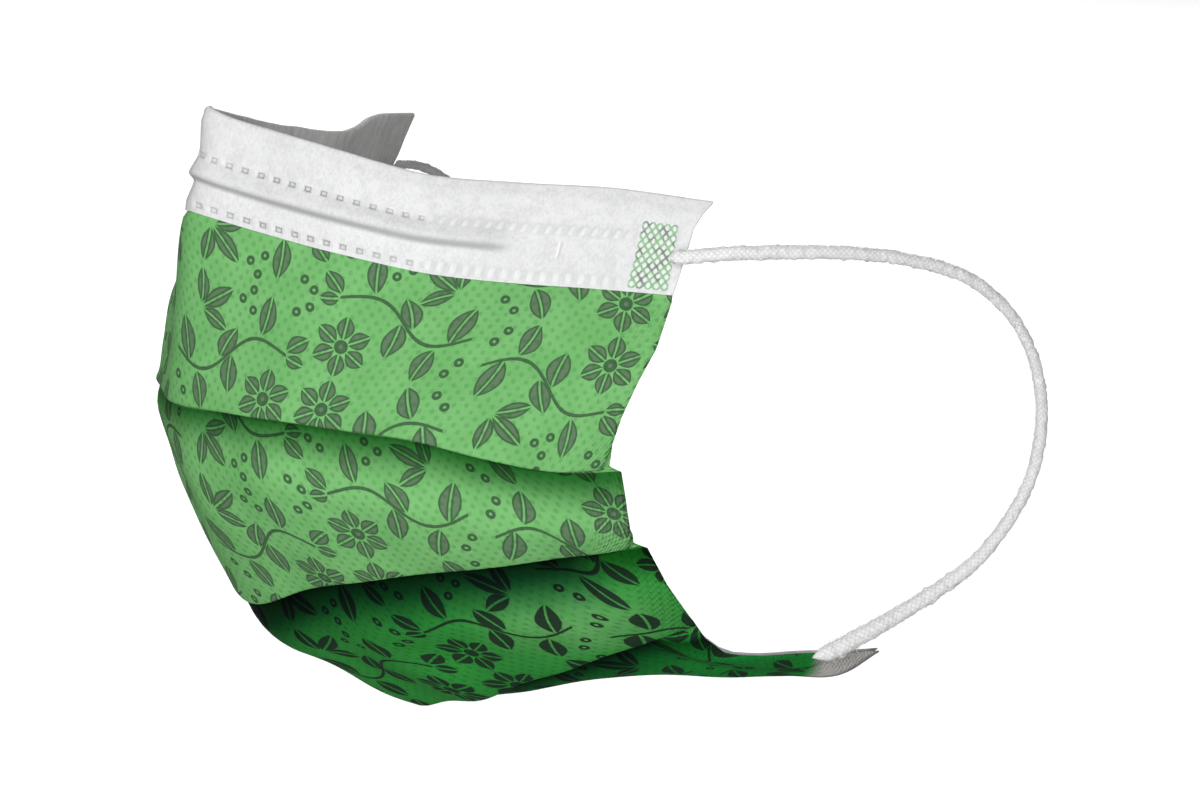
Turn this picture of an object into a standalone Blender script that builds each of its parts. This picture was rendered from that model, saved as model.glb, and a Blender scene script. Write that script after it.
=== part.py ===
# A disposable pleated face mask in the shape it takes when worn.
# Frame: Z up, the front faces -Y, the wearer's left is +X, origin at the nose seat.
import bpy
import numpy as np

for thing in list(bpy.data.objects):
    bpy.data.objects.remove(thing, do_unlink=True)

# Sizes in metres.
half_width = 0.056        # from the nose line to the widest cheek
depth = 0.101             # from the nose seat back to the lower corner
height = 0.105            # from the top edge down to the chin

wall = 0.001              # thickness of each ply
gap = 0.0003              # clearance between plies that lie on each other
layer = wall + gap        # pitch of stacked plies
pleat_side = 0.0096       # depth of a pleat where it is welded at the side edge
pleat_middle = 0.0050     # depth of a pleat where the face pulls it open
lining_slack = 0.0002     # the inner ply hangs a little further off the cover
tuck = 0.0014             # hidden layers end this much short of the edge in front of them
band_sink = 0.0016        # the plies under the white band lie this much deeper
step_out = 0.0100         # a panel comes out to the surface over this length below a fold

band_inside = 0.0100      # how far the white band reaches down on the inner side
ridge_centre = 0.0110     # from the top edge to the middle of the nose wire
ridge_half = 0.0036       # half width of the channel over the wire
wire_width = 0.0026
wire_thick = 0.0006
wire_reach = 0.62         # share of the half width that the wire covers

cord_diameter = 0.0024

columns = 26              # faces from side edge to side edge

# Each line runs across the mask from the nose line to the side edge.
# Columns: across as a share of half_width, back of depth, down of height.
across, back, down = 0, 1, 2
top_line = [
    (0.000, -0.012, 0.000), (0.179, 0.053, 0.018), (0.357, 0.140, 0.043), (0.500, 0.255, 0.077),
    (0.603, 0.386, 0.089), (0.772, 0.507, 0.092), (0.993, 0.626, 0.107)]
band_line = [
    (0.000, -0.030, 0.162), (0.205, 0.035, 0.182), (0.411, 0.124, 0.205), (0.571, 0.238, 0.229),
    (0.688, 0.356, 0.242), (0.839, 0.460, 0.245), (1.000, 0.548, 0.248)]
fold_1_line = [
    (0.000, -0.064, 0.463), (0.268, -0.030, 0.458), (0.518, 0.050, 0.459), (0.723, 0.158, 0.468),
    (0.866, 0.267, 0.495), (0.946, 0.356, 0.512), (1.000, 0.446, 0.511)]
fold_2_line = [
    (0.000, 0.086, 0.808), (0.268, 0.110, 0.763), (0.518, 0.173, 0.720), (0.714, 0.257, 0.691),
    (0.848, 0.351, 0.667), (0.929, 0.431, 0.653), (0.964, 0.510, 0.644)]
fold_3_line = [
    (0.000, 0.371, 0.998), (0.250, 0.381, 0.963), (0.482, 0.416, 0.919), (0.670, 0.465, 0.868),
    (0.795, 0.520, 0.828), (0.875, 0.579, 0.805), (0.920, 0.639, 0.784)]
bottom_line = [
    (0.000, 0.554, 0.991), (0.250, 0.564, 0.954), (0.464, 0.594, 0.918), (0.643, 0.653, 0.900),
    (0.750, 0.743, 0.897), (0.821, 0.851, 0.904), (0.857, 0.946, 0.901), (0.879, 1.006, 0.871)]

# The right cheek rides a little higher at the top. Columns: share of the way
# from the nose line to the side edge, rise as a share of height, set back of depth.
right_cheek = [
    (0.00, 0.000, 0.000), (0.15, 0.004, 0.000), (0.32, -0.003, 0.000), (0.44, -0.004, 0.000),
    (0.52, 0.008, 0.000),
    (0.62, 0.015, 0.003), (0.85, 0.006, 0.012), (1.00, 0.003, 0.016)]

# Outward swell of each panel between its two lines, as a share of height, and the
# power of the way down that sets where it is fullest.
swell = [(0.002, 1.0), (0.004, 1.0), (0.029, 1.15), (0.022, 0.75), (0.004, 1.0)]

# Rows of faces down a panel and down the last one.
band_shares = (0.35, 0.60, 0.80, 1.0)
panel_shares = (0.14, 0.30, 0.48, 0.68, 0.86)
chin_shares = (0.06, 0.18, 0.38, 0.58, 0.80, 1.0)

# How far each panel's side edge reaches past its lines, as shares of half_width.
# One row of (share down the panel, reach) pairs for each panel.
side_reach = [
    [(0.0, 0.0), (1.0, 0.0)],
    [(0.0, 0.0), (0.3, 0.010), (0.5, -0.010), (0.7, -0.023), (0.85, -0.018), (1.0, 0.0)],
    [(0.0, 0.026), (0.5, 0.006), (1.0, -0.004)],
    [(0.0, 0.026), (0.4, 0.006), (1.0, 0.0)],
    [(0.0, 0.0), (1.0, 0.0)]]

# The last panel's side edge sags. Columns: share down the panel, drop as a share of height.
side_sag = [(0.0, 0.010), (0.15, 0.041), (0.36, 0.034), (0.55, 0.022), (0.8, 0.008), (1.0, 0.0)]

# Routes of the ear loops, in the same three columns.
left_route = [
    (1.046, 0.546, 0.187), (1.064, 0.569, 0.187), (1.089, 0.603, 0.184), (1.116, 0.658, 0.183),
    (1.143, 0.742, 0.185), (1.161, 0.829, 0.191), (1.170, 0.921, 0.205), (1.179, 1.052, 0.245),
    (1.170, 1.159, 0.333), (1.143, 1.213, 0.453), (1.098, 1.210, 0.578), (1.036, 1.149, 0.702),
    (0.973, 1.008, 0.799), (0.955, 0.937, 0.831), (0.943, 0.888, 0.851), (0.934, 0.853, 0.859)]
right_route = [
    (-1.043, 0.638, 0.200), (-1.054, 0.684, 0.202), (-1.045, 0.744, 0.228), (-1.027, 0.789, 0.288),
    (-1.009, 0.799, 0.430), (-1.000, 0.793, 0.537), (-0.991, 0.788, 0.661), (-0.980, 0.805, 0.896),
    (-0.970, 0.871, 1.057), (-0.968, 0.930, 1.105), (-0.973, 0.985, 1.085), (-0.975, 1.017, 1.028),
    (-0.973, 1.012, 0.945), (-0.961, 0.960, 0.880), (-0.945, 0.896, 0.855), (-0.936, 0.855, 0.858)]


def metres(rows):
    """Rows of a table as points in the shared frame."""
    shares = np.array(rows)
    return shares * [half_width, depth, -height]


def smooth(points, where):
    """Points of a smooth curve through the given ones, at shares of its length."""
    steps = np.linalg.norm(np.diff(points, axis=0), axis=1)
    at = np.concatenate([[0], np.cumsum(steps)]) / steps.sum()
    slope = np.gradient(points, at, axis=0)
    k = np.clip(np.searchsorted(at, where, side="right") - 1, 0, len(at) - 2)
    span = (at[k + 1] - at[k])[:, None]
    t = ((where - at[k])[:, None]) / span
    return ((2 * t**3 - 3 * t**2 + 1) * points[k] + (t**3 - 2 * t**2 + t) * span * slope[k]
            + (3 * t**2 - 2 * t**3) * points[k + 1] + (t**3 - t**2) * span * slope[k + 1])


def ease(t):
    t = np.clip(t, 0, 1)
    return t * t * (3 - 2 * t)


def unit(v):
    return v / np.linalg.norm(v, axis=-1, keepdims=True)


class Sheet:
    """The visible surface: five panels between six lines, at every column."""

    def __init__(self, count):
        self.side = np.linspace(-1, 1, count + 1)
        near = np.abs(self.side)
        lines = [top_line, band_line, fold_1_line, fold_2_line, fold_3_line, bottom_line]
        self.line = []
        for number, rows in enumerate(lines):
            half = metres(rows)
            whole = np.concatenate([half[:0:-1] * [-1, 1, 1], half])
            points = smooth(whole, (self.side + 1) / 2)
            share, rise, set_back = np.transpose(right_cheek)
            fade = [1, 0.8, 0.2, 0, 0, 0][number] * (self.side < 0)
            points[:, 2] += np.interp(near, share, rise) * height * fade
            points[:, 1] += np.interp(near, share, set_back) * depth * fade
            self.line.append(points)
        self.along = [unit(np.gradient(p, axis=0)) for p in self.line]
        self.long = [np.linalg.norm(b - a, axis=1) for a, b in zip(self.line, self.line[1:])]
        self.out = []
        for k in range(5):
            drop = self.line[k + 1] - self.line[k]
            self.out.append(unit(np.cross(drop, self.along[k] + self.along[k + 1])))
        ends = [self.out[0]] + self.out + [self.out[-1]]
        self.out_at_line = [unit(a + b) for a, b in zip(ends, ends[1:])]
        self.pleat = pleat_middle + (pleat_side - pleat_middle) * near ** 1.5

    def place(self, panel, t, lift, reach=0.0):
        """Points at share t down a panel, lifted outward; reach widens both sides."""
        t = np.broadcast_to(t, self.side.shape)
        rim = ease((np.abs(self.side) - 0.8) / 0.2)
        share, drop = np.transpose(side_sag)
        sag = np.interp(t, share, drop) * height * rim if panel == 4 else 0 * rim
        share, more = np.transpose(side_reach[panel])
        widen = np.sign(self.side) * rim * (np.interp(t, share, more) * half_width + reach)
        full, power = swell[panel]
        puff = full * height * 4 * t**power * (1 - t**power)
        t, sag, widen, puff = t[:, None], sag[:, None], widen[:, None], puff[:, None]
        lift = np.broadcast_to(lift, self.side.shape)[:, None]
        a, b = self.line[panel], self.line[panel + 1]
        out = unit((1 - t)**2 * self.out_at_line[panel] + 2 * t * (1 - t) * self.out[panel]
                   + t**2 * self.out_at_line[panel + 1])
        sideways = unit((1 - t) * self.along[panel] + t * self.along[panel + 1])
        return (a * (1 - t) + b * t + puff * self.out[panel] + out * lift
                + sideways * widen - sag * [0, 0, 1])


def own_lift(sheet, panel, t):
    """How deep a panel lies: under the band, or where it comes out from below a fold."""
    way = t * sheet.long[panel]
    if panel == 0:
        return -band_sink * (1 - 0.4 * ease(way / sheet.long[0] / 0.85 - 0.4))
    if panel == 1:
        return -0.6 * band_sink * (1 - ease(way / step_out))
    return -2 * layer * (1 - ease(way / step_out))


def turn(panel, start, lift, way, sheet, stops):
    """Half a turn of a fold: the ply goes from one layer to the next one inside."""
    rows = []
    for degrees in stops:
        angle = np.radians(degrees)
        t = (start + way * layer / 2 * np.sin(angle)) / sheet.long[panel]
        rows.append((panel, t, lift - layer / 2 * (1 - np.cos(angle))))
    return rows


def cover_rows(sheet):
    """The pleated ply row by row: down a panel, up behind it, and down again."""
    rows = [(0, t, own_lift(sheet, 0, t) - wall / 2, 0)
            for t in (0.0021 / sheet.long[0], *band_shares)]
    for panel in (1, 2, 3):
        long = sheet.long[panel]
        fold = long - wall / 2 - layer / 2
        top = long - sheet.pleat
        last = fold / long
        for share in panel_shares:
            t = last * share
            rows.append((panel, t, own_lift(sheet, panel, t) - wall / 2, 0))
        base = own_lift(sheet, panel, last) - wall / 2
        hide = (0, 0, -tuck, -tuck)
        rows += [(*r, h) for r, h in zip(turn(panel, fold, base, 1, sheet, (0, 60, 120, 180)), hide)]
        inner = own_lift(sheet, panel, top / long) - wall / 2 - layer
        rows += [(*r, -tuck) for r in turn(panel, top, inner, -1, sheet, (0, 90, 180))]
        middle = (top / long + last) / 2
        rows.append((panel, middle, own_lift(sheet, panel, middle) - wall / 2 - 2 * layer, -tuck))
        rows.append((panel, last, base - 2 * layer, side_reach[panel + 1][0][1] * half_width))
    for share in chin_shares:
        rows.append((4, share, own_lift(sheet, 4, share) - wall / 2, 0))
    return rows


def lining_rows(sheet):
    """The inner ply follows the inside of the cover, one layer further in."""
    base = -wall / 2 - layer - lining_slack
    rows = [(0, t, own_lift(sheet, 0, t) + base, -tuck)
            for t in ((band_inside + gap * 2) / sheet.long[0], 0.80, 1.0)]
    for panel in (1, 2, 3):
        long = sheet.long[panel]
        stack = 1 - (sheet.pleat + 0.0020) / long
        clear = stack - 0.0024 / long
        last = 1 - 0.0008 / long
        shares = [last * share for share in panel_shares] + [clear, stack, last]
        for t in np.sort(np.clip(shares, 0.02, last), axis=0):
            under = -2 * layer * np.clip((t - clear) / (stack - clear), 0, 1)
            follow = np.clip((t - 0.86) / (last - 0.86), 0, 1) * side_reach[panel + 1][0][1] * half_width
            rows.append((panel, t, own_lift(sheet, panel, t) + base + under, follow - tuck))
    for share in chin_shares:
        rows.append((4, share, own_lift(sheet, 4, share) + base, 0))
    return rows


def band_rows(sheet):
    """The white band: front leaf with the wire's channel, fold, inner leaf."""
    long = sheet.long[0]
    front = gap + wall / 2
    sunk = front - band_sink
    ridge = (wire_thick + gap) * (1 - ease((np.abs(sheet.side) - wire_reach - 0.02) / 0.07))
    centre = wall / 2 + gap + wall
    rows = [(0, 1.0, front + own_lift(sheet, 0, 1.0), 0)]
    for offset, raised in ((1.0, 0), (0.52, 1), (-0.52, 1), (-1.0, 0)):
        t = (ridge_centre + offset * ridge_half) / long
        rows.append((0, t, front + own_lift(sheet, 0, t) + ridge * raised, 0))
    rows.append((0, 0.0045 / long, sunk, 0))
    radius = (gap + wall + layer) / 2
    for degrees in (0, 45, 90, 135, 180):
        angle = np.radians(degrees)
        t = (centre - radius * np.sin(angle)) / long
        rows.append((0, t, sunk - radius * (1 - np.cos(angle)), -tuck * (degrees > 90)))
    rows.append((0, band_inside / long, sunk - 2 * radius, -tuck))
    return rows


def wire_rows(sheet):
    middle = gap + wire_thick / 2
    shares = [(ridge_centre + side * wire_width / 2) / sheet.long[0] for side in (1, -1)]
    return [(0, t, own_lift(sheet, 0, t) + middle, 0) for t in shares]


def material(name, colour, roughness):
    made = bpy.data.materials.new(name)
    made.use_nodes = True
    shader = made.node_tree.nodes["Principled BSDF"]
    shader.inputs["Base Color"].default_value = (*colour, 1)
    shader.inputs["Roughness"].default_value = roughness
    return made


mask = bpy.data.collections.new("face_mask")
bpy.context.scene.collection.children.link(mask)


def cloth(name, rows, sheet, thick, look, keep=None):
    """An open pleated surface from its rows, thickened on both sides."""
    grid = np.array([sheet.place(*row) for row in rows])
    if keep is not None:
        grid = grid[:, keep]
    down_count, across_count = grid.shape[:2]
    faces = []
    for r in range(down_count - 1):
        for c in range(across_count - 1):
            a = r * across_count + c
            faces.append((a, a + across_count, a + across_count + 1, a + 1))
    mesh = bpy.data.meshes.new(name)
    mesh.from_pydata(grid.reshape(-1, 3).tolist(), [], faces)
    mesh.materials.append(look)
    body = bpy.data.objects.new(name, mesh)
    mask.objects.link(body)
    shell = body.modifiers.new("ply", "SOLIDIFY")
    shell.thickness = thick
    shell.offset = 0
    shell.use_even_offset = False
    return body


def cord(name, route, look):
    """A round elastic cord along a smooth route, with closed ends."""
    points = metres(route)
    steps = np.linalg.norm(np.diff(points, axis=0), axis=1).sum()
    count = int(steps / (2.2 * cord_diameter))
    track = smooth(points, np.linspace(0, 1, count))
    curve = bpy.data.curves.new(name, "CURVE")
    curve.dimensions = "3D"
    curve.bevel_depth = cord_diameter / 2
    curve.bevel_resolution = 2
    curve.use_fill_caps = True
    line = curve.splines.new("POLY")
    line.points.add(count - 1)
    for spot, point in zip(line.points, track):
        spot.co = (*point, 1)
    curve.materials.append(look)
    body = bpy.data.objects.new(name, curve)
    mask.objects.link(body)
    return body


green = material("green_nonwoven", (0.10, 0.42, 0.09), 0.8)
grey_white = material("grey_white_nonwoven", (0.62, 0.61, 0.60), 0.85)
white = material("white_nonwoven", (0.86, 0.86, 0.87), 0.8)
bare_wire = material("coated_wire", (0.75, 0.75, 0.76), 0.45)
elastic = material("knitted_elastic", (0.80, 0.80, 0.81), 0.9)

sheet = Sheet(columns)
cloth("outer_cover", cover_rows(sheet), sheet, wall, green)
cloth("lining", lining_rows(sheet), sheet, wall, grey_white)
cloth("nose_band", band_rows(sheet), sheet, wall, white)
cloth("nose_wire", wire_rows(sheet), sheet, wire_thick, bare_wire, np.abs(sheet.side) <= wire_reach)
cord("ear_loop_left", left_route, elastic)
cord("ear_loop_right", right_route, elastic)
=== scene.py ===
import math
import bpy
import numpy as np
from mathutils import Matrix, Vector


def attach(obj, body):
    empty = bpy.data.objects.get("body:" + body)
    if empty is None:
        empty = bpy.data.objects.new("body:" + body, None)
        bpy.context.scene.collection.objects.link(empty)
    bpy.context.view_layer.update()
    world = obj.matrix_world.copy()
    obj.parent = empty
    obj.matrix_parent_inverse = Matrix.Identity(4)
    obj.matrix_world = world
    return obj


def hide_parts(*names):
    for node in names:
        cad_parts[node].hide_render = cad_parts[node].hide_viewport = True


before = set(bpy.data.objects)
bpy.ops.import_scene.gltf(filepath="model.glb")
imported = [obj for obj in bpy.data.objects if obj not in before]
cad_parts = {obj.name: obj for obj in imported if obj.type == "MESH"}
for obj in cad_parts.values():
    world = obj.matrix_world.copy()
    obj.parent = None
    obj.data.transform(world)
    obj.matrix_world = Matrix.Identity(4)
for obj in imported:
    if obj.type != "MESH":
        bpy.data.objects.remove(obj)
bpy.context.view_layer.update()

# the mask as it is worn: z up, front to -y, the wearer's left at +x, nose seat at the origin
# rows are (across, back, down) as shares of the half width, depth and height; other lengths are in metres
worn = {
    "halfWidth": 0.056, "depth": 0.101, "height": 0.105,
    "top": [(0, -0.012, 0), (0.179, 0.053, 0.018), (0.357, 0.14, 0.043), (0.5, 0.255, 0.077),
            (0.603, 0.386, 0.089), (0.772, 0.507, 0.092), (0.993, 0.626, 0.107)],
    "bandEdge": [(0, -0.03, 0.162), (0.205, 0.035, 0.182), (0.411, 0.124, 0.205), (0.571, 0.238, 0.229),
                 (0.688, 0.356, 0.242), (0.839, 0.46, 0.245), (1, 0.548, 0.248)],
    "fold1": [(0, -0.064, 0.463), (0.268, -0.03, 0.458), (0.518, 0.05, 0.459), (0.723, 0.158, 0.468),
              (0.866, 0.267, 0.495), (0.946, 0.356, 0.512), (1, 0.446, 0.511)],
    "fold2": [(0, 0.086, 0.799), (0.268, 0.11, 0.755), (0.518, 0.173, 0.712), (0.714, 0.257, 0.684),
              (0.848, 0.351, 0.663), (0.929, 0.431, 0.653), (0.964, 0.51, 0.644)],
    "fold3": [(0, 0.371, 0.998), (0.25, 0.381, 0.963), (0.482, 0.416, 0.919), (0.67, 0.465, 0.868),
              (0.795, 0.52, 0.828), (0.875, 0.579, 0.805), (0.92, 0.639, 0.784)],
    "bottom": [(0, 0.554, 0.991), (0.25, 0.564, 0.954), (0.464, 0.594, 0.918), (0.643, 0.653, 0.896),
               (0.75, 0.743, 0.893), (0.821, 0.851, 0.901), (0.857, 0.946, 0.901), (0.879, 1.006, 0.871)],
    # the right cheek: share out to the side, rise and set back
    "rightCheek": [(0, -0.002, 0), (0.15, -0.003, 0), (0.25, -0.003, 0), (0.35, 0.0, 0),
                   (0.42, 0.004, 0), (0.5, 0.004, 0), (0.55, -0.001, 0.001), (0.6, -0.006, 0.003),
                   (0.65, -0.009, 0.004), (0.7, -0.006, 0.006), (0.75, 0.003, 0.008), (0.8, 0.006, 0.01),
                   (0.85, 0.006, 0.012), (1, 0.003, 0.016)],
    # the left cheek's top edge dips a little: share out to the side, rise
    "leftCheek": [(0, -0.002), (0.07, -0.009), (0.12, -0.01), (0.17, -0.0105), (0.22, -0.0102),
                  (0.27, -0.0105), (0.34, -0.01), (0.4, -0.008), (0.55, -0.006), (0.85, -0.0045),
                  (1, -0.002)],
    "rightFade": (1, 0.8, 0.2, 0, 0, 0), "leftFade": (1, 0.12, 0, 0, 0, 0),    # each line's share of it
    # down the band, how far its right end is drawn in
    "rightReach": [(0, 0.028), (0.25, 0.076), (0.6, 0.11), (1, 0.06)],
    # each panel's bulge, and the power that moves it up or down the panel
    "swell": [(0.002, 1.0), (0.004, 1.0), (0.02, 1.05), (0.02, 0.75), (0.004, 1.0)],
    # down each panel, how far its side edges reach out
    "sideReach": [
        [(0, -0.014), (0.12, -0.026), (0.3, -0.034), (0.5, -0.024), (0.75, -0.013), (1, -0.004)],
        [(0, 0), (0.3, 0.006), (0.5, -0.014), (0.7, -0.027), (0.85, -0.028), (1, -0.036)],
        [(0, 0.024), (0.5, -0.004), (0.85, -0.017), (1, -0.036)],
        [(0, 0.022), (0.4, 0.002), (1, -0.008)],
        [(0, 0), (1, 0)]],
    # down the last panel, how far its side edges hang
    "sideSag": [(0, 0.018), (0.15, 0.041), (0.36, 0.034), (0.55, 0.022), (0.8, 0.008), (1, 0)],
    "rimStart": 0.8, "rimSpan": 0.18, "reachSpan": 0.2,    # where the side welds begin to tell, as shares
    "middleFold": 0.07,    # half width of the fold down the middle, as a share
    "bandSink": 0.0016, "bandRise": 0.4,    # depth below the band, and the share lost at its edge
    "tuck": 0.0014, "liningTuck": 0.0005,    # pleats and lining stop short of the side edge
    "pleat": (0.005, 0.0046, 1.5),    # its depth at the middle, what the side edge adds, power
    "stepOut": (0.01, 0.01, 0.013, 0.013, 0.01),    # a panel comes out from below a fold over this length
    "foldGap": (0, 0.0, 0.0042, 0.0052, 0.003),    # how deep it starts below that fold, at the middle
    "rimGap": 0.0011,    # and at the welded side edge
    # the share of that depth along a fold
    "foldOpen": [(-0.8, 0.8), (-0.5, 0.6), (-0.3, 0.22), (-0.12, 0.35), (0.15, 1.0)],
    "crumple": 0.0002,    # height of the soft waves in the cloth
    "crumpled": (0.35, 0.8, 0.9, 1.2, 0.6),    # its share on each panel
    "waves": 14, "waveRates": (150, 520), "waveRate": 260, "waveStart": 6.3,    # rates in radians per metre
    # soft dents and swells that the waves don't give: panel, down it, out to the side, their spans, height
    "nudges": [
        (0, 0.0, -0.02, 0.22, 0.12, 0.0005), (0, 0.35, -0.03, 0.55, 0.22, -0.0005),
        (0, 0.64, -0.04, 0.3, 0.2, -0.0007), (0, 0.95, -0.04, 0.22, 0.2, 0.0006),
        (1, 0.1, -0.06, 0.14, 0.2, 0.0004), (1, 0.52, -0.2, 0.2, 0.2, 0.0011),
        (1, 1.0, -0.22, 0.16, 0.18, -0.0014), (2, 0.09, -0.22, 0.1, 0.2, 0.001),
        (2, 0.36, -0.24, 0.15, 0.18, -0.0011), (2, 0.95, -0.08, 0.14, 0.16, 0.0006),
        (3, 0.15, -0.1, 0.15, 0.17, 0.0025), (3, 0.55, 0.0, 0.3, 0.2, -0.0007),
        (3, 0.8, -0.3, 0.35, 0.22, -0.0007), (4, 0.85, 0.46, 0.5, 0.16, -0.0007)],
}

# a long lens at the wearer's left, a little above the mask; angles are in degrees
shot = {"place": (0.65225, -0.30274, 0.0966), "azimuth": 59.938, "elevation": 11.376, "roll": 1.111,
        "lens": 133.15, "film": 36.0, "clip": (0.05, 60.0)}


def toward(azimuth, elevation):    # the direction from the mask out into the room
    turn, lift = math.radians(azimuth), math.radians(elevation)
    return np.array([math.sin(turn) * math.cos(lift), -math.cos(turn) * math.cos(lift), math.sin(lift)])


def addCamera():
    turn, roll = math.radians(shot["azimuth"]), math.radians(shot["roll"])
    back = toward(shot["azimuth"], shot["elevation"])
    right = np.array([math.cos(turn), math.sin(turn), 0.0])
    up = np.cross(back, right)
    across = right * math.cos(roll) + up * math.sin(roll)
    upright = up * math.cos(roll) - right * math.sin(roll)
    lens = bpy.data.cameras.new("studioCamera")
    lens.lens, lens.sensor_width = shot["lens"], shot["film"]
    lens.clip_start, lens.clip_end = shot["clip"]
    camera = bpy.data.objects.new("studioCamera", lens)
    for row in range(3):
        for column, axis in enumerate((across, upright, back)):
            camera.matrix_world[row][column] = axis[row]
        camera.matrix_world[row][3] = shot["place"][row]
    bpy.context.scene.collection.objects.link(camera)
    bpy.context.scene.camera = camera


addCamera()
print("camera placed")


# helpers for curves and meshes
def ease(t):
    t = np.clip(t, 0, 1)
    return t * t * (3 - 2 * t)


def unit(v):
    return v / np.linalg.norm(v, axis=-1, keepdims=True)


def metres(rows):
    return np.array(rows) * [worn["halfWidth"], worn["depth"], -worn["height"]]


def smooth(points, where):    # points of a smooth curve through the given ones, at shares of its length
    steps = np.linalg.norm(np.diff(points, axis=0), axis=1)
    at = np.concatenate([[0], np.cumsum(steps)]) / steps.sum()
    slope = np.gradient(points, at, axis=0)
    k = np.clip(np.searchsorted(at, where, side="right") - 1, 0, len(at) - 2)
    span = (at[k + 1] - at[k])[:, None]
    t = (where - at[k])[:, None] / span
    return ((2 * t**3 - 3 * t**2 + 1) * points[k] + (t**3 - 2 * t**2 + t) * span * slope[k]
            + (3 * t**2 - 2 * t**3) * points[k + 1] + (t**3 - t**2) * span * slope[k + 1])


def lengths(grid, axis):    # running length along the rows or columns of a grid of points
    steps = np.linalg.norm(np.diff(grid, axis=axis), axis=2)
    start = np.zeros((1, grid.shape[1])) if axis == 0 else np.zeros((grid.shape[0], 1))
    return np.concatenate([start, np.cumsum(steps, axis=axis)], axis=axis)


def addMesh(name, points, faces, body="root"):
    mesh = bpy.data.meshes.new(name)
    mesh.from_pydata(points.tolist(), [], faces)
    mesh.polygons.foreach_set("use_smooth", [True] * len(mesh.polygons))
    piece = bpy.data.objects.new(name, mesh)
    bpy.context.scene.collection.objects.link(piece)
    if body:
        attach(piece, body)
    return piece


def gridFaces(down, across, wrap=False):
    start = np.arange(down - 1)[:, None] * across
    column = np.arange(across if wrap else across - 1)[None]
    a, b = start + column, start + (column + 1) % across
    return np.stack([a, a + across, b + across, b], axis=-1).reshape(-1, 4).tolist()


def keepPlaces(piece, name, values):    # three numbers at each point that the shader reads
    layer = piece.data.attributes.new(name, "FLOAT_VECTOR", "POINT")
    layer.data.foreach_set("vector", np.asarray(values, np.float32).reshape(-1))


# the ear loops, which are built first
loops = {
    "diameter": 0.0024, "ringPoints": 20, "ringPitch": 0.00036,
    "left": [(1.03, 0.53, 0.187), (1.064, 0.569, 0.185), (1.089, 0.603, 0.182), (1.116, 0.658, 0.181),
             (1.143, 0.742, 0.183), (1.161, 0.829, 0.189), (1.17, 0.921, 0.203), (1.179, 1.05, 0.244),
             (1.17, 1.156, 0.333), (1.143, 1.211, 0.453), (1.098, 1.214, 0.579), (1.036, 1.152, 0.701),
             (0.973, 1.009, 0.797), (0.955, 0.937, 0.829), (0.943, 0.888, 0.849), (0.934, 0.853, 0.857)],
    "right": [(-1.043, 0.638, 0.203), (-1.054, 0.684, 0.207), (-1.045, 0.744, 0.234), (-1.027, 0.789, 0.294),
              (-1.009, 0.799, 0.43), (-1.0, 0.793, 0.537), (-0.991, 0.788, 0.661), (-0.98, 0.805, 0.896),
              (-0.97, 0.871, 1.057), (-0.968, 0.93, 1.105), (-0.973, 0.985, 1.085), (-0.975, 1.017, 1.028),
              (-0.973, 1.012, 0.945), (-0.961, 0.96, 0.88), (-0.945, 0.896, 0.855), (-0.936, 0.855, 0.858)],
    "lengths": {"left": 0.1446, "right": 0.1518},
    # thickness along each loop, as shares of its length and its diameter
    "swell": {"left": [(0, 0.97), (0.15, 0.93), (0.3, 0.88), (0.5, 0.8), (0.7, 0.88), (0.85, 1.08),
                       (1, 1.26)],
              "right": [(0, 0.64), (0.08, 0.7), (0.16, 0.9), (0.5, 0.92), (1, 1.1)]},
    "uneven": (0.03, 300, 117),    # what wavers on top of it: share, and two rates along the loop
    "taper": (0.00108, 0.0034),    # the upper and lower end close over these lengths
    "knot": 0.00011, "twist": 4200,    # height of the uneven knit, and its turn along the loop
    "crossings": 4,    # of the yarns in one turn round the loop
    "fibres": 6000, "fibreLength": 0.00085, "fibreWidth": 0.00003,
    "fibreFoot": 0.93, "fibreReach": (0.006, 0.98),
}


def loopFrames(track):
    along = unit(np.gradient(track, axis=0))
    side = np.zeros_like(along)
    side[0] = unit(np.cross(along[0], [0, 0, 1]))
    for k in range(1, len(track)):
        carried = side[k - 1] - along[k] * (side[k - 1] @ along[k])
        side[k] = carried / np.linalg.norm(carried)
    return along, side, np.cross(along, side)


def yarnPlaces(way, turn):    # along a loop, and round it as a sine and cosine that meet without a seam
    turn = turn * loops["crossings"]
    return np.stack(np.broadcast_arrays(way, np.cos(turn), np.sin(turn)), axis=-1).reshape(-1, 3)


def looseFibres(pick, track, frames, swell):    # thin bent blades: shares along the loop, turns, points
    along, right, up = frames
    share = pick.uniform(*loops["fibreReach"], loops["fibres"])
    turn = pick.uniform(0, 2 * math.pi, loops["fibres"])
    spot = (share * (len(track) - 1)).astype(int)
    out = np.cos(turn)[:, None] * right[spot] + np.sin(turn)[:, None] * up[spot]
    lean = unit(out + along[spot] * pick.uniform(-1.6, 1.6, (len(spot), 1))
                + np.cross(along[spot], out) * pick.uniform(-1.2, 1.2, (len(spot), 1)))
    size = loops["fibreLength"] * pick.uniform(0.5, 1.25, (len(spot), 1)) * swell[spot]**2
    wide = unit(np.cross(lean, pick.normal(size=(len(spot), 3)))) * loops["fibreWidth"]
    foot = track[spot] + out * loops["diameter"] / 2 * loops["fibreFoot"] * swell[spot]
    knee = foot + lean * size * 0.6
    end = foot + lean * size * 0.95 + out * size * pick.uniform(-0.35, 0.1, (len(spot), 1))
    blades = np.stack([foot - wide, foot + wide, knee + wide, knee - wide, end], axis=1)
    return share, turn, blades.reshape(-1, 3)


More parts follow.
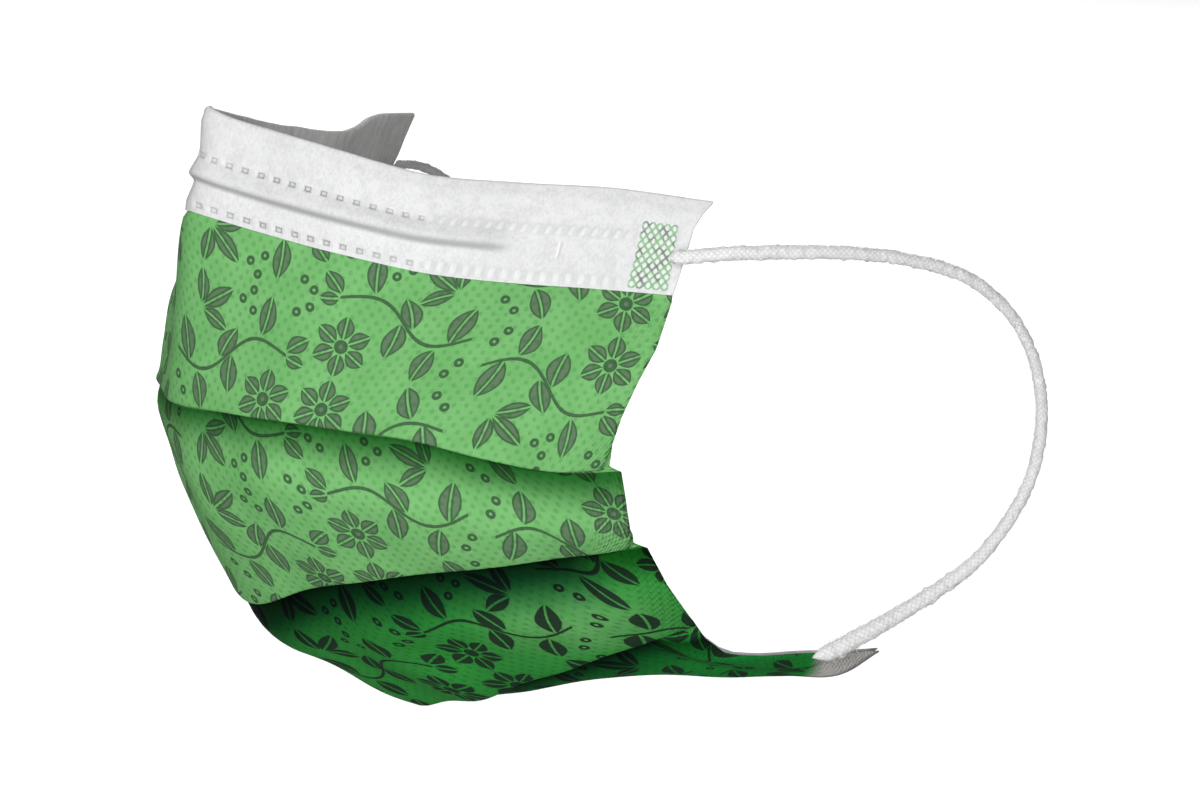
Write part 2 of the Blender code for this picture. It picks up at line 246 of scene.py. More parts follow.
def addLoop(side, seed):
    route = metres(loops[side])
    total = np.linalg.norm(np.diff(smooth(route, np.linspace(0, 1, 600)), axis=0), axis=1).sum()
    count = int(total / loops["ringPitch"])
    track = smooth(route, np.linspace(0, 1, count))
    along, right, up = loopFrames(track)
    turns = np.linspace(0, 2 * math.pi, loops["ringPoints"], endpoint=False)
    way = np.linspace(0, total, count)[:, None]
    pick = np.random.default_rng(seed)
    knit = pick.normal(size=(count, len(turns)))
    for axis in (0, 1):
        knit = (np.roll(knit, 1, axis) + 1.4 * knit + np.roll(knit, -1, axis)) / 3.4
    knit = knit / knit.std() * (0.6 + 0.4 * np.sin(way * loops["twist"] + 2 * turns))
    waver, quick, slow = loops["uneven"]
    swell = np.interp(way / total, *np.transpose(loops["swell"][side]))
    swell = swell + waver * np.sin(way * quick + seed) * np.sin(way * slow)
    upper, lower = loops["taper"]
    tip = np.minimum(ease(way / upper), ease((total - way) / lower)) ** 0.5
    r = (loops["diameter"] / 2 * swell + loops["knot"] * knit) * np.maximum(tip, 0.05)
    ring = (track[:, None] + r[..., None] * (np.cos(turns)[None, :, None] * right[:, None]
                                             + np.sin(turns)[None, :, None] * up[:, None]))
    points = ring.reshape(-1, 3)
    faces = gridFaces(count, len(turns), wrap=True)
    faces += [list(range(len(turns)))[::-1], list(range(len(points) - len(turns), len(points)))]
    share, turn, blades = looseFibres(pick, track, (along, right, up), swell)
    base = len(points) + np.arange(len(share)) * 5
    faces += np.stack([base, base + 1, base + 2, base + 3], axis=1).tolist()
    faces += np.stack([base + 3, base + 2, base + 4], axis=1).tolist()
    piece = addMesh("earLoop" + side.capitalize(), np.concatenate([points, blades]), faces)
    fibrePlaces = np.repeat(yarnPlaces(share * total, turn), 5, axis=0)
    keepPlaces(piece, "cut", np.concatenate([yarnPlaces(way, turns), fibrePlaces]))
    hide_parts("ear_loop_" + side)
    [tuple(p) for p in track[::4]] + [tuple(track[-1])]
    return piece


loopPieces = [addLoop("left", 3), addLoop("right", 8)]
print("ear loops made")


# the worn surface: five panels between six lines
class WornShape:
    def __init__(self, columns):
        self.side = np.linspace(-1, 1, columns + 1)
        near = np.abs(self.side)
        share, rise, setBack = np.transpose(worn["rightCheek"])
        self.line = []
        for number, name in enumerate(("top", "bandEdge", "fold1", "fold2", "fold3", "bottom")):
            half = metres(worn[name])
            points = smooth(np.concatenate([half[:0:-1] * [-1, 1, 1], half]), (self.side + 1) / 2)
            fade = worn["rightFade"][number] * (self.side < 0)
            points[:, 2] += np.interp(near, share, rise) * worn["height"] * fade
            points[:, 1] += np.interp(near, share, setBack) * worn["depth"] * fade
            fade = worn["leftFade"][number] * (self.side > 0)
            points[:, 2] += np.interp(near, *np.transpose(worn["leftCheek"])) * worn["height"] * fade
            self.line.append(points)
        self.along = [unit(np.gradient(p, axis=0)) for p in self.line]
        self.long = [np.linalg.norm(b - a, axis=1) for a, b in zip(self.line, self.line[1:])]
        self.out = [unit(np.cross(self.line[k + 1] - self.line[k], self.along[k] + self.along[k + 1]))
                    for k in range(5)]
        ends = [self.out[0]] + self.out + [self.out[-1]]
        self.outAtLine = [unit(a + b) for a, b in zip(ends, ends[1:])]
        self.rim = ease((near - worn["rimStart"]) / worn["rimSpan"])
        middle, more, power = worn["pleat"]
        self.pleat = middle + more * near ** power
        pick = np.random.default_rng(5)
        rates, start = worn["waveRates"], worn["waveStart"]
        self.waves = [(pick.normal(size=3), pick.uniform(*rates), pick.uniform(0, start))
                      for _ in range(worn["waves"])]

    def crumple(self, place, panel):    # soft waves that are the same for every ply
        height = sum(np.sin(place @ (unit(way) * rate) + start) * (worn["waveRate"] / rate)
                     for way, rate, start in self.waves)
        return worn["crumple"] * height * worn["crumpled"][panel] * (1 - 0.5 * self.rim)

    def nudge(self, panel, t):
        more = np.zeros_like(self.side)
        for where, down, out, spanDown, spanOut, height in worn["nudges"]:
            away = (panel - where + t - down) / spanDown
            more = more + height * np.exp(-away**2 - ((self.side - out) / spanOut) ** 2)
        return more

    def sink(self, panel, t):    # how deep a panel lies under the band or below a fold
        way = t * self.long[panel]
        if panel == 0:
            return -worn["bandSink"] * (1 - worn["bandRise"] * ease(t / 0.85 - 0.4))
        start = (1 - worn["bandRise"]) * worn["bandSink"]
        if panel > 1:
            spread = np.interp(self.side, *np.transpose(worn["foldOpen"]))
            start = worn["foldGap"][panel] * spread * (1 - self.rim) + worn["rimGap"] * self.rim
        return -start * (1 - ease(way / worn["stepOut"][panel]))

    # a row of points: the share down the panel, the height out of it, the reach past its sides
    def place(self, panel, t, lift, reach):
        t = np.broadcast_to(t, self.side.shape)
        rim = ease((np.abs(self.side) - worn["rimStart"]) / worn["reachSpan"])
        share, drop = np.transpose(worn["sideSag"])
        sag = np.interp(t, share, drop) * worn["height"] * rim if panel == 4 else 0 * rim
        share, more = np.transpose(worn["sideReach"][panel])
        widen = np.sign(self.side) * rim * (np.interp(t, share, more) * worn["halfWidth"] + reach)
        if panel == 0:
            share, more = np.transpose(worn["rightReach"])
            widen = widen - (self.side < 0) * rim * np.interp(t, share, more) * worn["halfWidth"]
        full, power = worn["swell"][panel]
        puff = full * worn["height"] * 4 * t**power * (1 - t**power)
        a, b = self.line[panel], self.line[panel + 1]
        t, sag, widen, puff = t[:, None], sag[:, None], widen[:, None], puff[:, None]
        middle = a * (1 - t) + b * t
        lift = (lift + self.crumple(middle, panel) + self.nudge(panel, t[:, 0]))[:, None]
        out = unit((1 - t)**2 * self.outAtLine[panel] + 2 * t * (1 - t) * self.out[panel]
                   + t**2 * self.outAtLine[panel + 1])
        sideways = unit((1 - t) * self.along[panel] + t * self.along[panel + 1])
        return middle + puff * self.out[panel] + out * lift + sideways * widen - sag * [0, 0, 1]


# the green cover with its three pleats
cover = {"columns": 168, "ply": 0.00034, "rows": (9, 26, 26, 26, 22),
         "looseMiddle": 0.00042, "looseSide": 0.00024,
         "start": 0.0012, "drawnIn": 0.0004}    # the first row: below the top edge, in from the sides


def looseness(shape):    # half the gap in a fold, which the side welds press flatter
    return cover["looseMiddle"] * (1 - shape.rim) + cover["looseSide"] * shape.rim


def edgeReach(panel):    # how far a panel's side edges reach out at its start
    return worn["sideReach"][panel][0][1] * worn["halfWidth"]


def coverRows(shape):
    ply, tuck, loose = cover["ply"], worn["tuck"], looseness(shape)
    first = cover["start"] / shape.long[0]
    rows = []
    for share in np.linspace(0, 1, cover["rows"][0]):
        t = first + (1 - first) * share
        rows.append((0, t, shape.sink(0, t) - ply / 2, -cover["drawnIn"] * (1 - share)))
    for panel in (1, 2, 3):
        long = shape.long[panel]
        fold = long - loose - ply / 2
        top = long - shape.pleat
        for share in np.linspace(0, 1, cover["rows"][panel])[1:-1]:    # down to the fold
            t = fold / long * share
            rows.append((panel, t, shape.sink(panel, t) - ply / 2, 0))
        base = shape.sink(panel, fold / long) - ply / 2
        for angle in np.linspace(0, math.pi, 7):    # round the fold
            t = (fold + loose * math.sin(angle)) / long
            rows.append((panel, t, base - loose * (1 - math.cos(angle)), -tuck * ease(angle / math.pi)))
        for share in (0.25, 0.5, 0.75):    # up behind the panel
            t = (fold * (1 - share) + top * share) / long
            rows.append((panel, t, shape.sink(panel, t) - ply / 2 - 2 * loose, -tuck))
        inner = shape.sink(panel, top / long) - ply / 2 - 2 * loose
        for angle in np.linspace(0, math.pi, 5):    # round the fold at the back
            t = (top - loose * math.sin(angle)) / long
            rows.append((panel, t, inner - loose * (1 - math.cos(angle)), -tuck))
        below = shape.sink(panel + 1, 0) - ply / 2
        for share in (0.25, 0.5, 0.75, 1.0):    # down again to the next panel
            t = (top * (1 - share) + fold * share) / long
            rows.append((panel, t, (inner - 2 * loose) * (1 - share) + below * share,
                         edgeReach(panel + 1) * share - tuck * (1 - share)))
    for share in np.linspace(0, 1, cover["rows"][4])[1:]:
        rows.append((4, share, shape.sink(4, share) - ply / 2, 0))
    return rows


def addCloth(name, rows, shape, ply, innerRows=0, soften=0):
    grid = np.array([shape.place(*row) for row in rows])
    for _ in range(soften):    # rounds the inside of the fold down the middle
        share = 0.5 * np.exp(-(shape.side[1:-1] / worn["middleFold"])**2)[:, None]
        grid[:, 1:-1] = grid[:, 1:-1] * (1 - share) + (grid[:, 2:] + grid[:, :-2]) / 2 * share
    panels = [row[0] for row in rows]
    t = np.array([np.broadcast_to(row[1], shape.side.shape) for row in rows])
    lines = [shape.line[k] * (1 - s)[:, None] + shape.line[k + 1] * s[:, None] for k, s in zip(panels, t)]
    u = lengths(np.array(lines), 1)
    u = u - u[:, [len(shape.side) // 2]]
    piece = addMesh(name, grid.reshape(-1, 3), gridFaces(*grid.shape[:2]))
    keepPlaces(piece, "cut", np.stack([u, lengths(grid, 0), np.broadcast_to(shape.side, u.shape)], axis=-1))
    kind = np.array(panels, float)
    kind[len(kind) - innerRows:] = -1    # the inner leaf of a folded piece
    way = t * np.array([shape.long[k] for k in panels])
    keepPlaces(piece, "worn", np.stack([np.broadcast_to(kind[:, None], t.shape), t, way], axis=-1))
    shell = piece.modifiers.new("ply", "SOLIDIFY")
    shell.thickness, shell.offset = ply, 0
    return piece


coverShape = WornShape(cover["columns"])
coverPiece = addCloth("outerCover", coverRows(coverShape), coverShape, cover["ply"])
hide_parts("outer_cover")
print("cover made")


# the lining, one ply further in
lining = {"columns": 120, "ply": 0.0003, "gap": 0.0004, "start": 0.0106, "soften": 24,
          # it goes round the back of a pleat: how far above the pleat, over what length, and where it ends
          "above": 0.0016, "slope": 0.0024, "short": 0.0008, "reachFrom": 0.86}


def liningRows(shape):
    base = -cover["ply"] - lining["gap"] - lining["ply"] / 2
    first = lining["start"] / shape.long[0]
    rows = []
    for share in (0, 0.33, 0.66, 1):
        t = first + (1 - first) * share
        rows.append((0, t, shape.sink(0, t) + base, -worn["liningTuck"]))
    for panel in (1, 2, 3):
        long = shape.long[panel]
        stack = 1 - (shape.pleat + lining["above"]) / long
        clear = stack - lining["slope"] / long
        last = 1 - lining["short"] / long
        shares = [last * s for s in np.linspace(0.08, 0.97, 15)] + [clear, stack, last]
        back = -4 * looseness(shape) - cover["ply"] + lining["gap"] * 0.4    # clear of the pleat
        deep = np.minimum(shape.sink(panel + 1, 0), back)
        start, edge = lining["reachFrom"], edgeReach(panel + 1)
        for t in np.sort(np.clip(shares, 0.02, last), axis=0):
            under = deep * np.clip((t - clear) / (stack - clear), 0, 1)
            reach = np.clip((t - start) / (last - start), 0, 1) * edge
            lift = np.minimum(shape.sink(panel, t), under) + base
            rows.append((panel, t, lift, reach - worn["liningTuck"]))
    for share in np.linspace(0.05, 1, 14):
        rows.append((4, share, shape.sink(4, share) + base, 0))
    return rows


liningShape = WornShape(lining["columns"])
liningPiece = addCloth("innerLining", liningRows(liningShape), liningShape, lining["ply"],
                       soften=lining["soften"])
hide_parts("lining")
print("lining made")


# the white band over the top edge, with weld marks and the ridge over the nose wire
band = {
    "columns": 540, "ply": 0.0003, "tall": 0.017, "past": 0.0002,
    "lift": 0.0007, "topLift": 0.00028, "edgeLift": 0.00036,    # its height over the cheek's panel
    "topShare": 0.022, "foldRadius": 0.00042, "inside": 0.0118, "innerGap": 0.00008, "innerRows": 7,
    "ridge": 0.0107, "ridgeUp": 0.0022, "ridgeDown": 0.00085, "ridgeHeight": 0.0013,
    "ridgeEnd": (0.6, 0.67),
    # rows of points down the band, closest where the weld marks and the ridge are
    "rows": [(1, 4), (0.965, 10), (0.88, 4), (0.785, 28), (0.545, 3), (0.505, 12), (0.4, 9), (0.022, 1)],
    # weld marks: the rows' distance below the top edge, pitch at the nose and how it closes up sideways, where
    # it turns into the closer pitch of slanted marks, the rows' shift at the nose, half size and depth
    "weldRows": (0.0077, 0.0157), "weldPitch": 0.00315, "weldCloser": 8600.0, "weldTurn": 0.0408,
    "weldBeyond": (0.0019, 0.00207), "weldStart": (-0.07, 0.25), "weldShift": (0.66, 0.45),
    "weldBlend": 0.003, "weldWide": 0.00062, "weldTall": 0.00046, "weldDepth": 0.0003,
    "trough": 0.0001, "puff": 0.00014,
    # the slanted marks of each row: shift along it, lean, half width and half height; where their painted
    # highlights and shade end
    "strokes": [(0.32, -0.42, 0.0003, 0.00062), (-0.3, -0.08, 0.00041, 0.0008)],
    "strokeHighlightsEnd": (0.0725, 0.0775),
    # the slot, and the patch that holds each ear loop: middle out along the band and down it, half size, lean
    "slotPlace": (0.0632, 0.011), "slotSize": (0.00022, 0.0013), "slotLean": -0.1,
    "patchPlace": (0.0796, 0.0106), "patchSize": (0.0034, 0.0058), "patchLean": -0.135,
    # creases: place out and down, lean, half width, height
    "creases": [(0.031, 0.006, 0.55, 0.0009, 0.00016), (0.036, 0.01, 0.45, 0.0012, 0.00012),
                (0.043, 0.008, 0.6, 0.001, 0.00014), (0.052, 0.005, 0.3, 0.0014, 0.0001)],
    "creaseTall": 0.0045,
}


# counts the weld marks of a row out from the nose, in the mesh and in the shader
def weldPhase(far, inner, row):
    past, shift = band["weldBeyond"][row], band["weldShift"][row]
    return (inner * (1 / band["weldPitch"] + shift / band["weldTurn"])
            + inner * inner * inner * band["weldCloser"]
            + (far - inner) * (1 / past) - (shift - band["weldStart"][row]))


def leaning(far, way, middle, down, lean):    # a place seen from the middle of a slanted mark
    return far - middle - (way - down) * lean, way - down


def bandRelief(u, way):    # the weld marks, the slot, the loop patch and the creases pressed into the band
    far, depth = np.abs(u), band["weldDepth"]
    inner = np.minimum(far, band["weldTurn"])
    plain = ease((far - band["weldTurn"]) / band["weldBlend"])    # towards the sides the marks lean
    relief = 0
    for row, place in enumerate(band["weldRows"]):
        off = way - place
        pitch = band["weldPitch"] * (1 - plain) + band["weldBeyond"][row] * plain
        along, lean, halfWide, halfTall = band["strokes"][row]
        phase = (weldPhase(far, inner, row) + plain * (along - off * lean / pitch)) % 1 - 0.5
        tall = band["weldTall"] * (1 + 0.9 * plain)
        apart = np.maximum(np.abs(phase) * pitch / band["weldWide"], np.abs(off) / tall)
        beside = np.exp(-(off / (tall * 1.6)) ** 2)
        stroke = np.exp(-(phase * pitch / halfWide / 1.4) ** 2 - (off / halfTall / 1.4) ** 2)
        relief = relief - (1 - ease((apart - 0.7) / 0.7)) * depth * (1 - plain)
        relief = relief + beside * (band["puff"] * ease(np.abs(phase) * 4 - 1) - band["trough"]) * (1 - plain)
        relief = relief + plain * depth * stroke
    for name, share, edge, soft in (("slot", 0.9, 0.7, 1.2), ("patch", 0.6, 0.94, 0.14)):
        across, down = leaning(far, way, *band[name + "Place"], band[name + "Lean"])
        halfWide, halfTall = band[name + "Size"]
        apart = np.maximum(np.abs(across) / halfWide, np.abs(down) / halfTall)
        relief = relief - share * (1 - ease((apart - edge) / soft)) * depth
    for out, below, lean, wide, high in band["creases"]:
        across, down = leaning(u, way, out, below, lean)
        relief = relief + high * np.exp(-(across / wide)**2 - (down / band["creaseTall"]) ** 2)
    return relief


def bandRows(shape):
    long, top, past, tuck = shape.long[0], band["topShare"], band["past"], worn["liningTuck"]
    start, end = band["ridgeEnd"]
    reach = 1 - ease((np.abs(shape.side) - start) / (end - start))
    steps = band["rows"]
    shares = [np.linspace(a, b, count, endpoint=False) for (a, count), (b, _) in zip(steps, steps[1:])]
    rows = []
    for share in [*np.concatenate(shares), top]:
        way = share * band["tall"]
        u = lengths((shape.line[0] * (1 - share) + shape.line[1] * share)[None], 1)[0]
        u = u - u[len(u) // 2]
        off = way - band["ridge"]
        spread = band["ridgeUp"] if off < 0 else band["ridgeDown"]
        ridge = np.exp(-(off / spread) ** 2) * band["ridgeHeight"]
        own = band["topLift"] + (band["lift"] - band["topLift"]) * ease((share - 0.03) / 0.12)
        own = own + (band["edgeLift"] - band["lift"]) * ease(share * 8 - 7)
        rows.append((0, share, shape.sink(0, share) + own + ridge * reach + bandRelief(u, way), past))
    height, radius = rows[-1][2], band["foldRadius"]
    for angle in np.linspace(0, math.pi, 7)[1:]:    # over the top edge
        rows.append((0, top - radius / long * math.sin(angle), height - radius * (1 - math.cos(angle)),
                     past - (tuck + past) * ease(angle / math.pi)))
    for share in (0.12, 0.4, 0.7, 1.0):    # the inner leaf lies on the back of the cover
        t = top + (band["inside"] / long - top) * share
        rows.append((0, t, shape.sink(0, t) - cover["ply"] - band["innerGap"] - band["ply"] / 2, -tuck))
    return rows


bandShape = WornShape(band["columns"])
bandPiece = addCloth("noseBand", bandRows(bandShape), bandShape, band["ply"], innerRows=band["innerRows"])
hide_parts("nose_band")
print("band made")


# the nose wire between band and cover
wire = {"columns": 90, "reach": 0.62, "ridge": 0.0108, "width": 0.0026, "thick": 0.0005, "gap": 0.0001,
        "edge": 0.00012, "shade": (0.62, 0.62, 0.63), "light": (0.78, 0.78, 0.79)}


def addWire():
    shape = WornShape(wire["columns"])
    rows = []
    for side in (-1, -0.5, 0, 0.5, 1):
        t = (wire["ridge"] + side * wire["width"] / 2) / band["tall"]
        rows.append((0, t, shape.sink(0, t) + wire["gap"] + wire["thick"] / 2, 0))
    keep = np.abs(shape.side) <= wire["reach"]
    grid = np.array([shape.place(*row) for row in rows])[:, keep]
    piece = addMesh("noseWire", grid.reshape(-1, 3), gridFaces(*grid.shape[:2]))
    shell = piece.modifiers.new("strip", "SOLIDIFY")
    shell.thickness, shell.offset = wire["thick"], 0
    rounding = piece.modifiers.new("edge", "BEVEL")
    rounding.width, rounding.segments = wire["edge"], 2
    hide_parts("nose_wire")
    return piece


wirePiece = addWire()
print("wire made")


# the materials
def mathsNode(operation):    # a method that adds this Math node
    def add(self, *values):
        return self.finish.node("Math", {"operation": operation}, dict(enumerate((self, *values))))
    return add


class Signal:    # a node's output that sums and products can be written with
    def __init__(self, finish, socket):
        self.finish, self.socket = finish, socket

    __add__, __mul__, __sub__ = mathsNode("ADD"), mathsNode("MULTIPLY"), mathsNode("SUBTRACT")
    __radd__, __rmul__ = __add__, __mul__
    __mod__, __pow__, __abs__ = mathsNode("FLOORED_MODULO"), mathsNode("POWER"), mathsNode("ABSOLUTE")
    atMost, atLeast, arcTangent = mathsNode("MINIMUM"), mathsNode("MAXIMUM"), mathsNode("ARCTAN2")
    floor, cosine, sine = mathsNode("FLOOR"), mathsNode("COSINE"), mathsNode("SINE")

    def __rsub__(self, other):
        return self.finish.node("Math", {"operation": "SUBTRACT"}, {0: other, 1: self})

    def between(self, low, high):    # 0 at low, 1 at high
        return self.finish.node("MapRange", {"interpolation_type": "SMOOTHSTEP", "clamp": True},
                                {"Value": self, "From Min": low, "From Max": high})

    def fromPanel(self, number):    # 1 on the panels from this one down
        return self.between(number - 0.6, number - 0.4)


class Finish:
    def __init__(self, name, roughness, sheen, specular):
        self.material = bpy.data.materials.new(name)
        self.material.use_nodes = True
        self.nodes, self.links = self.material.node_tree.nodes, self.material.node_tree.links
        self.shader = self.nodes["Principled BSDF"]
        self.feed(self.shader.inputs["Roughness"], roughness)
        self.feed(self.shader.inputs["Specular IOR Level"], specular)
        self.feed(self.shader.inputs["Sheen Weight"], sheen)

    def node(self, kind, settings, values, output=0):
        made = self.nodes.new("ShaderNode" + kind)
        for name, value in settings.items():
            setattr(made, name, value)
        for name, value in values.items():
            self.feed(made.inputs[name], value)
        return Signal(self, made.outputs[output])

    def feed(self, socket, value):
        if isinstance(value, Signal):
            self.links.new(value.socket, socket)
        else:
            socket.default_value = (*value, 1) if isinstance(value, tuple) else value    # a tuple is a colour

    def split(self, place):
        apart = self.node("SeparateXYZ", {}, {0: place})
        return [Signal(self, socket) for socket in apart.socket.node.outputs]

    def parts(self, name):    # the three numbers that keepPlaces gave the mesh
        return self.split(self.node("Attribute", {"attribute_name": name}, {}, "Vector"))

    def position(self):
        return self.node("NewGeometry", {}, {}, "Position")

    def vector(self, x, y):
        return self.node("CombineXYZ", {}, {0: x, 1: y})

    def noise(self, place, scale, detail, roughness=0.55, distortion=0.0):
        return self.node("TexNoise", {}, {"Vector": place, "Scale": scale, "Detail": detail,
                                          "Roughness": roughness, "Distortion": distortion})

    def mix(self, share, first, second, blend="MIX"):
        settings = {"data_type": "RGBA", "blend_type": blend}
        return self.node("Mix", settings, {0: share, 6: first, 7: second}, 2)

    def dye(self, share, first, second):
        return self.mix(share, first, second, "MULTIPLY")

    def colour(self, value):
        self.feed(self.shader.inputs["Base Color"], value)

    def relief(self, height, distance, strength):
        bump = self.node("Bump", {}, {"Height": height, "Distance": distance, "Strength": strength})
        self.feed(self.shader.inputs["Normal"], bump)


green = {
    "light": (0.205, 0.52, 0.18), "deep": (0.145, 0.425, 0.128), "pressed": (0.085, 0.325, 0.08),
    "fibre": (0.3, 0.62, 0.27), "mottle": (0.34, 0.68, 0.26), "paintedShadeGrey": (0.5, 0.48, 0.457),
    "ink": (0.118, 0.192, 0.112), "inkEdge": (0.046, 0.104, 0.048), "inkInPaintedShade": (0.014, 0.024, 0.018),
    "inkShare": 0.94,
    # the chin panels are painted darker as painted shade, the last one most, and each panel gets a painted
    # shadow just below its fold
    "chin": (0.16, 0.56, 0.26), "under": (0.35, 0.8, 0.75),
    "fold": (0.1, 0.28, 0.13), "chinFoldShadow": (0.01, 0.14, 0.2),
    "foldShadowReach": (0.001, 0.0086), "chinFoldShadowReach": (0.004, 0.0145), "chinFoldShadowSide": (0.8, 0.94),
    "paintedLitPatch": (0.76, 0.3, 0.0145, 0.012),    # a painted pool of light on the cheek, where the chin's painted shade is lighter: place and reach, out and down
    "shadedGreyCorner": (0.0872, 0.0915),    # how far back the lower corner is painted grey, a white hem darkened as painted shade
    "dotPitch": 0.002, "dotStretch": 1.15, "dotHeight": 0.00006,
    "seam": (0.9, 0.94), "hatch": (0.0011, 0.0016),    # the side welds and their hatch's pitches
}

# the print's motif, in mm from the middle of its cell
sprig = {
    "cell": (27.0, 23.0),
    "stem": (-1.0, -1.0, 16), "stemBend": (0.3, 2.3), "stemSize": (11.5, 0.34),
    # leaves: foot, angle, length, width, bend
    "leaves": [(-8.7, -4.8, 107, 7.2, 1.9, 1.1), (-7.0, -5.2, -58, 6.0, 1.8, -1.0),
               (-2.6, -2.3, 80, 5.8, 1.8, -1.2), (-0.4, -0.6, -88, 6.2, 1.9, 0.9),
               (4.6, 3.1, 76, 6.8, 1.7, 1.0), (9.8, 1.9, 47, 4.6, 1.5, -0.5), (9.9, 1.4, -19, 3.5, 1.2, 0.4)],
    "flower": (8.1, -6.2), "petal": (1.1, 4.0, 1.5), "heart": 0.75, "heartRing": (0.9, 0.28),
    "sprout": (-8.3, 4.8, 38), "sproutLeaf": (7.4, 1.5), "sideLeaf": (0, 0.3, 50, 5.8, 1.4, 0.8),
    "berries": [(-0.3, 8.4), (1.6, 10.2), (2.1, 7.0), (10.2, 8.8), (12.3, 10.1), (-11.2, -7.6), (-9.4, -9.6)],
    "berryRing": (0.52, 0.3),
}


def leaf(a, b, start, length, width, bend=0.0, vein=0.13):    # how far inside a leaf along a, in mm
    q = (a - start) * (1.0 / length)
    middle = abs(b - q * q * bend) if bend else abs(b)
    return (q * (1 - q) * (4 * width) - middle).atMost(middle - vein)


def turned(x, y, px, py, degrees):    # the same place seen along a stem that starts at px, py
    c, s = math.cos(math.radians(degrees)), math.sin(math.radians(degrees))
    return x * c + (y * s - (px * c + py * s)), y * c - (x * s + (py * c - px * s))


def distance(x, y):
    return (x * x + y * y) ** 0.5


def leafPrint(u, v):    # leaf sprigs, six-petal flowers and berries on a half-drop lattice
    wide, tall = sprig["cell"]
    x, y = u * 1000, v * 1000
    column = (x * (1 / wide)).floor()
    y = y + column * (tall / 2)
    row = (y * (1 / tall)).floor()
    x = (x - column * wide - wide / 2) * (1 - (column % 2) * 2)
    y = (y - row * tall - tall / 2) * (1 - (row % 2) * 2)
    a, b = turned(x, y, *sprig["stem"])
    rate, high = sprig["stemBend"]
    halfLong, halfWide = sprig["stemSize"]
    inside = (halfWide - abs(b - (a * rate).sine() * high)).atMost(halfLong - abs(a))
    for px, py, degrees, length, width, bend in sprig["leaves"]:
        inside = inside.atLeast(leaf(*turned(x, y, px, py, degrees), 0.3, length, width, bend))
    px, py = sprig["flower"]    # one petal folded six times round
    fx, fy = x - px, y - py
    far = distance(fx, fy)
    angle = fy.arcTangent(fx) % (math.pi / 3) - math.pi / 6
    inside = inside.atLeast(leaf(far * angle.cosine(), far * angle.sine(), *sprig["petal"], vein=0.12))
    ring, halfWide = sprig["heartRing"]
    inside = inside.atLeast((sprig["heart"] - far).atLeast(halfWide - abs(far - ring)))
    a, b = turned(x, y, *sprig["sprout"])    # three leaves, the outer two mirrored
    inside = inside.atLeast(leaf(a, b, 0.2, *sprig["sproutLeaf"]))
    px, py, degrees, length, width, bend = sprig["sideLeaf"]
    inside = inside.atLeast(leaf(*turned(a, abs(b), px, py, degrees), 0.2, length, width, bend))
    ring, halfWide = sprig["berryRing"]
    for px, py in sprig["berries"]:
        inside = inside.atLeast(halfWide - abs(distance(x - px, y - py) - ring))
    return inside


def makeGreen():
    finish = Finish("greenNonwoven", 0.85, 0.0, 0.08)
    u, v, side = finish.parts("cut")
    panel, _, wayDown = finish.parts("worn")
    chin, last = panel.fromPanel(3), panel.fromPanel(4)
    place = finish.vector(u, v)
    cloud = finish.noise(place, 110, 4, 0.6)
    mottle = finish.noise(place, 1500, 5, 0.75)
    fibre = finish.noise(finish.vector(u * 2600, v * 900), 1.0, 3, 0.7, 0.6)
    rate = 2 * math.pi / green["dotPitch"]
    dots = (u * rate).cosine() * (v * (rate / green["dotStretch"])).cosine()
    dots = (dots + (finish.noise(place, 420, 2) - 0.5) * 0.6).between(0.15, 0.85)
    colour = finish.mix(cloud.between(0.32, 0.66), green["deep"], green["light"])
    colour = finish.mix(0.35, colour, green["light"])
    colour = finish.mix(fibre.between(0.45, 0.75) * 0.18, colour, green["fibre"])
    colour = finish.mix(dots * 0.47, colour, green["pressed"])
    # painted light: a patch on the cheek where less of the chin's painted shade is laid
    out, outReach, down, downReach = green["paintedLitPatch"]
    litPatch = (1 - abs(side - out).between(0, outReach)) * (1 - abs(wayDown - down).between(0, downReach))
    litPatch = litPatch * (0.34 + cloud * 0.5) * (1 - last)
    colour = finish.mix(chin * mottle.between(0.5, 0.66) * 0.3, colour, green["mottle"])
    # painted shade: the down-facing chin panels are darkened, the last one most, except in the painted lit
    # patch
    colour = finish.dye(chin * (1 - litPatch), colour, green["chin"])
    colour = finish.dye(last, colour, green["under"])
    inside = leafPrint(u, v)
    ink = (inside + (fibre - 0.5) * 0.22).between(-0.05, 0.12) * green["inkShare"]
    inkColour = finish.mix(inside.between(0.18, 0.5), green["inkEdge"], green["ink"])
    inkColour = finish.mix(dots * 0.3, inkColour, green["inkEdge"])
    # painted shade: on the chin panels the print is darkened too
    colour = finish.mix(ink, colour, finish.mix(chin, inkColour, green["inkInPaintedShade"]))
    # painted shadow: below each fold the panel is darkened, on the chin panels more deeply, fading out towards
    # the side welds
    under = (1 - wayDown.between(*green["foldShadowReach"])) * panel.fromPanel(2)
    colour = finish.dye(under, colour, green["fold"])
    under = (1 - wayDown.between(*green["chinFoldShadowReach"])) * (1 - side.between(*green["chinFoldShadowSide"])) * chin
    colour = finish.dye(under, colour, green["chinFoldShadow"])
    # painted shade: the lower corners of the last panel turn grey, a white hem as it looks in shade
    _, back, _ = finish.split(finish.position())
    shadedCorner = (back + (cloud - 0.5) * 0.003).between(*green["shadedGreyCorner"]) * last
    finish.colour(finish.mix(shadedCorner, colour, green["paintedShadeGrey"]))
    seam = abs(side).between(*green["seam"]) * panel.between(0.4, 0.6)
    one, other = (2 * math.pi / pitch for pitch in green["hatch"])
    hatch = ((u + v) * one).sine() * ((u - v * 0.4) * other).sine()
    finish.relief(fibre * 0.35 + cloud * 0.8 - dots + seam * hatch * 1.2, green["dotHeight"], 0.9)
    return finish.material


